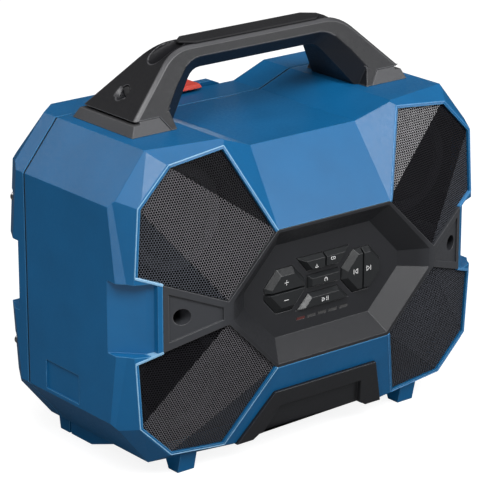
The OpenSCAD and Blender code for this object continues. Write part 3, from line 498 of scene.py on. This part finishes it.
def edge_plane(p, q, grow):
    way = Vector((q.z - p.z, 0, p.x - q.x)).normalized()
    return p + way * grow * MM, way


OUTLINE = [edge_plane(A, T, PANEL_TUCK)]
OUTLINE += [edge_plane(p, q, RIM_TUCK) for p, q in ((T, E), (E, D), (D, C), (C, B), (B, A))]
middle = (A + T + B + C + D + E) / 6
OUTLINE = [(p, way if way.dot(middle - p) < 0 else -way) for p, way in OUTLINE]


def repeat(obj, offset, count):
    array = obj.modifiers.new("repeat", "ARRAY")
    array.use_relative_offset = False
    array.use_constant_offset = True
    array.constant_offset_displace = offset
    array.count = count
    bpy.ops.object.modifier_apply(modifier="repeat")


def punched_sheet(name, columns, rows):
    bpy.ops.object.select_all(action="DESELECT")
    bpy.ops.mesh.primitive_circle_add(vertices=HOLE_SIDES, radius=HOLE / 2, fill_type="NOTHING")
    obj = bpy.context.object
    obj.name = name
    start_edit()
    bpy.ops.mesh.extrude_edges_move()
    bpy.ops.transform.resize(value=(PITCH / HOLE, PITCH / HOLE, 1))
    bpy.ops.mesh.select_all(action="DESELECT")
    stop_edit()
    # every second corner of the outer ring moves out, so that the cell is a hexagon
    for vert in obj.data.vertices:
        turn = math.atan2(vert.co.y, vert.co.x)
        vert.select = vert.co.length > (HOLE + PITCH) / 4 and math.cos(6 * turn) < 0
    bpy.ops.object.mode_set(mode="EDIT")
    wide = 1 / math.cos(math.radians(30))
    bpy.ops.transform.resize(value=(wide, wide, 1))
    bpy.ops.mesh.select_all(action="SELECT")
    step = (PITCH / 2, PITCH * math.sin(math.radians(60)), 0)
    bpy.ops.mesh.duplicate_move(TRANSFORM_OT_translate={"value": step})
    stop_edit()
    repeat(obj, (PITCH, 0, 0), columns)
    repeat(obj, (0, 2 * step[1], 0), rows)
    start_edit()
    bpy.ops.mesh.remove_doubles(threshold=CELL_MERGE)
    bpy.ops.transform.translate(value=(-PITCH * columns / 2, -step[1] * rows, 0))
    stop_edit()
    return obj


def lay_on(obj, plane, centre):
    point, way = plane
    side = Vector((0, 0, 1)).cross(way).normalized()
    up = way.cross(side)
    spot = centre - way * (centre - point).dot(way)
    turn = Matrix((side, up, way)).transposed().to_4x4()
    obj.matrix_world = Matrix.Translation(spot) @ turn
    settle()


def trim(planes):
    start_edit()
    for point, way in planes:
        bpy.ops.mesh.select_all(action="SELECT")
        bpy.ops.mesh.bisect(plane_co=point, plane_no=way, clear_outer=True, threshold=CUT_MERGE)
    stop_edit()


# painted light and shade of each fold, lighter and darker copies of the grille's metal: middle band,
# triangle beside the top or bottom, outer triangle
FOLD_LIGHT_AND_SHADE = {"upper_right": (grille_painted_shade, grille_painted_highlight, grille_middle),
    "upper_left": (grille_painted_light, grille_painted_shade, grille_middle),
    "lower_right": (grille_middle, grille_middle, grille_middle),
    "lower_left": (grille_painted_light, grille_middle, grille_painted_shade)}
HOLE_WALLS = 3
CENTRES = [(A + C + D + T) / 4, (A + B + C) / 3, (T + D + E) / 3]
# columns and pairs of rows that cover each fold
COUNTS = [(72, 40), (58, 34), (50, 34)]
sheets = []
for index, plane in enumerate(FOLDS):
    sheet = punched_sheet("fold_%d" % index, *COUNTS[index])
    lay_on(sheet, plane, CENTRES[index])
    others = [FOLDS[i] for i in range(3) if i != index]
    trim(others + [SLOPE, ARM] + OUTLINE)
    for tone in FOLD_LIGHT_AND_SHADE["upper_right"]:
        sheet.data.materials.append(tone)
    # the hole walls take the grille's painted shade
    sheet.data.materials.append(grille_painted_shade)
    for face in sheet.data.polygons:
        face.material_index = index
    sheets.append(sheet)

grille = joined(sheets, "mesh_upper_right")
thick = grille.modifiers.new("thick", "SOLIDIFY")
thick.thickness = SHEET
thick.offset = -1
thick.material_offset_rim = HOLE_WALLS
bpy.ops.object.modifier_apply(modifier="thick")

for corner, (sx, sz) in QUARTERS.items():
    obj = grille
    if corner != "upper_right":
        pick(grille)
        bpy.ops.object.duplicate()
        obj = bpy.context.object
        obj.name = "mesh_" + corner
        start_edit()
        bpy.ops.transform.resize(value=(sx, 1, sz), center_override=INSIDE)
        if sx * sz < 0:
            bpy.ops.mesh.flip_normals()
        stop_edit()
    for index, tone in enumerate(FOLD_LIGHT_AND_SHADE[corner]):
        obj.data.materials[index] = tone
    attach(obj, "case")
    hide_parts("grille_" + corner)


# Signs on the keys: thin raised marks of generic shapes

KEY_FACE = -101.5
RAISE = 0.12
# widths of the drawn lines
BAR_LINE = 0.55
THIN_LINE = 0.5
ARC_LINE = 0.45
sign_parts = []


def mark_bar(x, z, wide, high, turn=0.0):
    obj = add_cube()
    obj.scale = (wide * MM, RAISE * MM, high * MM)
    obj.rotation_euler = (0, turn, 0)
    obj.location = at(x, KEY_FACE - RAISE / 2, z)
    settle()
    sign_parts.append(obj)


def mark_triangle(x, z, wide, high, way, stroke=THIN_LINE):
    mark_bar(x - way * wide / 2, z, stroke, high + stroke / 2)
    long = math.hypot(wide, high / 2)
    lean = math.atan2(high / 2, wide)
    for side in (-1, 1):
        mark_bar(x, z + side * high / 4, long + stroke / 2, stroke, way * side * lean)


def mark_arc(x, z, radius, width, start, sweep, steps=14):
    obj = add_cube()
    start_edit()
    bpy.ops.mesh.select_mode(type="FACE")
    bpy.ops.mesh.select_all(action="DESELECT")
    stop_edit()
    for face in obj.data.polygons:
        face.select = face.normal.z > 0.5
    bpy.ops.object.mode_set(mode="EDIT")
    bpy.ops.mesh.select_all(action="INVERT")
    bpy.ops.mesh.delete(type="FACE")
    bpy.ops.mesh.select_all(action="SELECT")
    bpy.ops.transform.resize(value=(width * MM, RAISE * MM, 0), center_override=(0, 0, 0))
    bpy.ops.transform.translate(value=Vector((radius * MM, 0, 0)))
    bpy.ops.transform.rotate(value=-math.radians(start), orient_axis="Y", center_override=(0, 0, 0))
    bpy.ops.mesh.spin(steps=steps, angle=-math.radians(sweep), center=(0, 0, 0), axis=(0, 1, 0))
    bpy.ops.mesh.select_all(action="SELECT")
    bpy.ops.mesh.remove_doubles(threshold=CUT_MERGE)
    bpy.ops.mesh.fill_holes(sides=4)
    bpy.ops.mesh.normals_make_consistent(inside=False)
    bpy.ops.mesh.select_mode(type="VERT")
    stop_edit()
    obj.location = at(x, KEY_FACE - RAISE / 2, z)
    settle()
    sign_parts.append(obj)


def sign_on(key):
    obj = joined(sign_parts, "sign_" + key)
    face_outward()
    obj.data.materials.clear()
    obj.data.materials.append(sign_white)
    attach(obj, "key_" + key)
    sign_parts.clear()


# each mark has its place across and up the panel first, then its sizes, in millimetres and degrees
mark_bar(-40, 7, 4.0, BAR_LINE)
mark_bar(-40, 8.4, BAR_LINE, 1.4)
mark_bar(-40, 5.6, BAR_LINE, 1.4)
sign_on("volume_up")
mark_bar(-40, -7.3, 4.2, BAR_LINE)
sign_on("volume_down")
mark_bar(-9.5, 15.4, 0.7, 0.7)
mark_arc(-9.5, 15.4, 1.4, ARC_LINE, 45, 90)
mark_arc(-9.5, 15.4, 2.5, ARC_LINE, 45, 90)
sign_on("wireless")
mark_arc(6.2, 17, 1.1, ARC_LINE, 0, 359)
mark_arc(8.3, 17, 1.1, ARC_LINE, 0, 359)
sign_on("link")
mark_arc(0, 1.0, 1.5, THIN_LINE, 125, 290)
mark_bar(0, 2.2, THIN_LINE, 1.6)
sign_on("power")
mark_triangle(-2.2, -15, 2.8, 3.4, 1)
mark_bar(0.9, -15, THIN_LINE, 3.4)
mark_bar(2.4, -15, THIN_LINE, 3.4)
sign_on("play")
mark_triangle(31.4, 0.5, 3.0, 4.2, -1)
mark_bar(28.9, 0.5, THIN_LINE, 4.2)
sign_on("previous")
mark_triangle(43.8, 0.7, 3.0, 4.2, 1)
mark_bar(46.4, 0.7, THIN_LINE, 4.2)
sign_on("next")


# Lips: the narrow moulded edge that runs round each grille, coloured lighter than the shell as a painted
# highlight

LIP_WIDE = 1.05
LIP_DEEP = 1.8
LIP_PROUD = 0.35
LIP_OVERLAP = 0.4
LIP_ROUND = 0.45
# the deep part of the lip, which runs from E to where the panel's arm ends
ARM_LIP_WIDE = 2.2
ARM_LIP_DEEP = 7
ARM_END = E + (T - E) * 0.295


def lip_bar(p, q, wide=LIP_WIDE, deep=LIP_DEEP):
    along_edge = (q - p).normalized()
    across = along_edge.cross(FORWARD).normalized()
    out = across.cross(along_edge)
    obj = add_cube()
    turn = Matrix((across, out, along_edge)).transposed().to_4x4()
    size = Matrix.Diagonal((wide * MM, deep * MM, (q - p).length + LIP_OVERLAP * MM, 1))
    spot = (p + q) / 2 - out * (deep / 2 - LIP_PROUD) * MM
    obj.matrix_world = Matrix.Translation(spot) @ turn @ size
    settle()
    start_edit()
    bpy.ops.mesh.bevel(offset=LIP_ROUND * MM, segments=2, affect="EDGES")
    stop_edit()
    return obj


def turned(point, sx, sz):
    rest = point - INSIDE
    return INSIDE + Vector((rest.x * sx, rest.y, rest.z * sz))


for corner, (sx, sz) in QUARTERS.items():
    pieces = []
    for p, q in ((A, B), (B, C), (C, D), (D, E)):
        pieces.append(lip_bar(turned(p, sx, sz), turned(q, sx, sz)))
    pieces.append(lip_bar(turned(E, sx, sz), turned(ARM_END, sx, sz), ARM_LIP_WIDE, ARM_LIP_DEEP))
    lip = joined(pieces, "lip_" + corner)
    face_outward()
    # painted highlight: the lips are lighter than the shell, palest on the left
    lip.data.materials.append(lip_left_painted_highlight if sx < 0 else lip_painted_highlight)
    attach(lip, "case")


# Stage: pale floor that the camera sees as white, soft studio light

FLOOR_SIZE = 14
FLOOR_SPOT = (1.5, 2, -0.0002)
FLOOR_TONE = (0.26, 0.26, 0.26)
MIRRORED_TONE = (0.1, 0.1, 0.1)
FLOOR_GLOW = 0.88
ROOM_LIGHT = 0.07
WHITE = (1, 1, 1, 1)

bpy.ops.object.select_all(action="DESELECT")
bpy.ops.mesh.primitive_plane_add(size=FLOOR_SIZE, location=FLOOR_SPOT)
floor = bpy.context.object
floor.name = "floor"
floor_mat, shader = new_material("floor_pale", FLOOR_TONE, 0.9)
path = add_node(floor_mat, "ShaderNodeLightPath")
tone = two_tone(floor_mat, path.outputs["Is Glossy Ray"], FLOOR_TONE, MIRRORED_TONE)
link(floor_mat, tone, shader.inputs["Base Color"])
glow = worked_out(floor_mat, "MULTIPLY", path.outputs["Is Camera Ray"], FLOOR_GLOW)
shader.inputs["Emission Color"].default_value = WHITE
link(floor_mat, glow, shader.inputs["Emission Strength"])
floor.data.materials.append(floor_mat)

AIM = Vector((0, 0, 0.16))
# name, place, width and height of the soft box, power
LIGHTS = [
    ("key_light", (0.22, -1.72, 1.68), (0.9, 0.9), 31),
    ("slope_light", (1.28, -1.72, 0.97), (1.0, 0.9), 18),
    ("left_light", (-1.15, -1.0, 2.0), (1.1, 1.1), 42),
    ("strip_light", (-1.65, -0.95, 0.24), (0.45, 0.4), 5.5),
    ("rim_light", (-0.95, 1.58, 1.35), (1.0, 1.0), 6),
    ("back_light", (1.3, 1.5, 0.3), (0.8, 0.12), 0.9),
    ("top_light", (1.0, 0.05, 2.4), (1.0, 1.0), 7)]

for name, spot, size, power in LIGHTS:
    data = bpy.data.lights.new(name, "AREA")
    data.shape = "RECTANGLE"
    data.size, data.size_y = size
    data.energy = power
    lamp = bpy.data.objects.new(name, data)
    lamp.location = spot
    lamp.rotation_euler = (AIM - Vector(spot)).to_track_quat("-Z", "Y").to_euler()
    bpy.context.collection.objects.link(lamp)

world = bpy.data.worlds.new("studio")
world.use_nodes = True
bpy.context.scene.world = world
back = world.node_tree.nodes["Background"]
back.inputs["Color"].default_value = WHITE
seen = add_node(world, "ShaderNodeLightPath")
level = mapped(world, seen.outputs["Is Camera Ray"], 0.0, 1.0, ROOM_LIGHT, 1.0)
link(world, level, back.inputs["Strength"])

# camera at the photograph's angle
CAMERA_SPOT = (-1.2527, -1.5515, 0.8311)
CAMERA_TILT = math.radians(71.12)
CAMERA_TURN = math.radians(-38.68)
LENS = 195.8
SENSOR = 36
FAR_END = 60

camera_data = bpy.data.cameras.new("camera")
camera_data.lens = LENS
camera_data.sensor_width = SENSOR
camera_data.dof.use_dof = False
camera_data.clip_end = FAR_END
camera = bpy.data.objects.new("camera", camera_data)
camera.location = CAMERA_SPOT
camera.rotation_euler = (CAMERA_TILT, 0, CAMERA_TURN)
bpy.context.collection.objects.link(camera)
bpy.context.scene.camera = camera
bpy.context.scene.view_settings.view_transform = "Standard"
